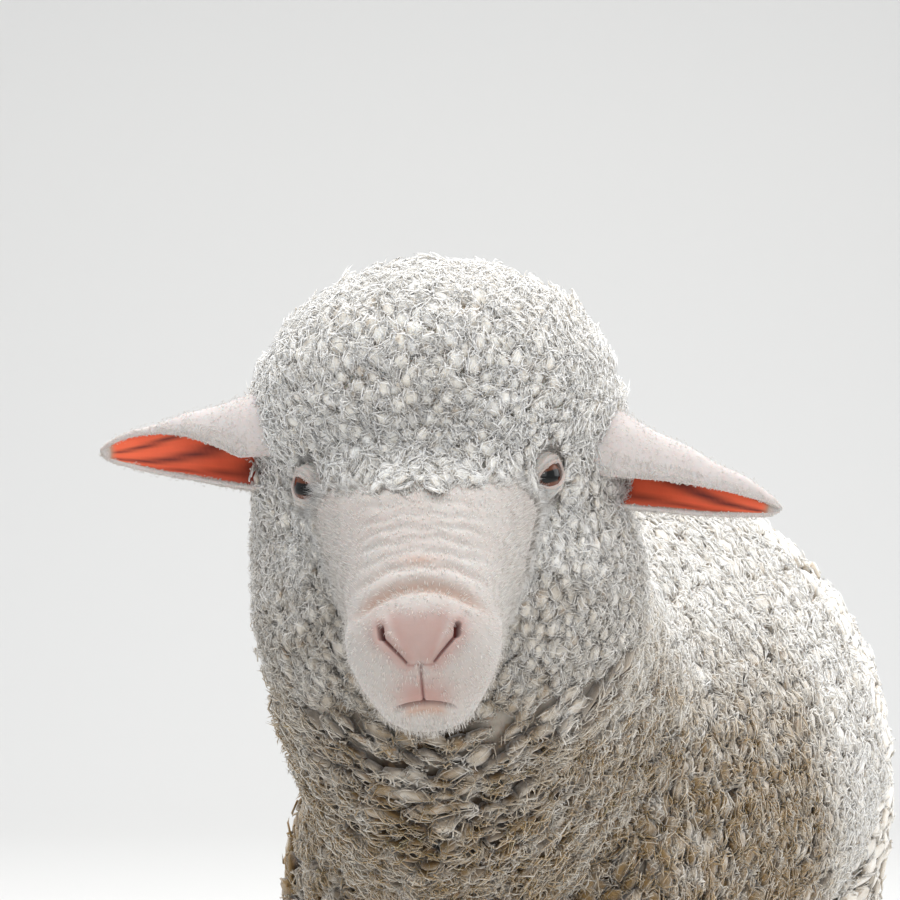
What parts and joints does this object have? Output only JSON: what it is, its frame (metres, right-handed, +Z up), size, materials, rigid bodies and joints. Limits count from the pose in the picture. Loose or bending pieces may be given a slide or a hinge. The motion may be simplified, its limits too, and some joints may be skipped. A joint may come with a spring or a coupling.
{
  "type": "merino sheep",
  "caption": "Life-size young woolly sheep standing on its cloven hooves, head turned to its left, ears held out to the sides.",
  "frame": {"origin": "on the floor under the middle of the bounding box", "axes": "+X is the sheep's own left, +Y runs from nose to tail, +Z is up; it faces -Y with the head turned towards +X"},
  "size_m": [0.4022, 0.9954, 0.7444],
  "materials": {
    "wool": "matt, fluffy fleece",
    "bare_skin": "matt skin under short pale hair",
    "hoof_horn": "satin horn",
    "eye": "wet gloss"
  },
  "bodies": {
    "root": {"trunk": "wool", "neck": "wool", "head": "wool", "tail": "wool", "ear_left": "bare_skin", "ear_right": "bare_skin", "eye_left": "eye", "eye_right": "eye", "foreleg_left_upper": "wool", "foreleg_left_lower": "bare_skin", "foreleg_left_claw_inner": "hoof_horn", "foreleg_left_claw_outer": "hoof_horn", "foreleg_left_dewclaw_inner": "hoof_horn", "foreleg_left_dewclaw_outer": "hoof_horn", "foreleg_right_upper": "wool", "foreleg_right_lower": "bare_skin", "foreleg_right_claw_inner": "hoof_horn", "foreleg_right_claw_outer": "hoof_horn", "foreleg_right_dewclaw_inner": "hoof_horn", "foreleg_right_dewclaw_outer": "hoof_horn", "hindleg_left_upper": "wool", "hindleg_left_lower": "bare_skin", "hindleg_left_claw_inner": "hoof_horn", "hindleg_left_claw_outer": "hoof_horn", "hindleg_left_dewclaw_inner": "hoof_horn", "hindleg_left_dewclaw_outer": "hoof_horn", "hindleg_right_upper": "wool", "hindleg_right_lower": "bare_skin", "hindleg_right_claw_inner": "hoof_horn", "hindleg_right_claw_outer": "hoof_horn", "hindleg_right_dewclaw_inner": "hoof_horn", "hindleg_right_dewclaw_outer": "hoof_horn"}
  },
  "joints": []
}
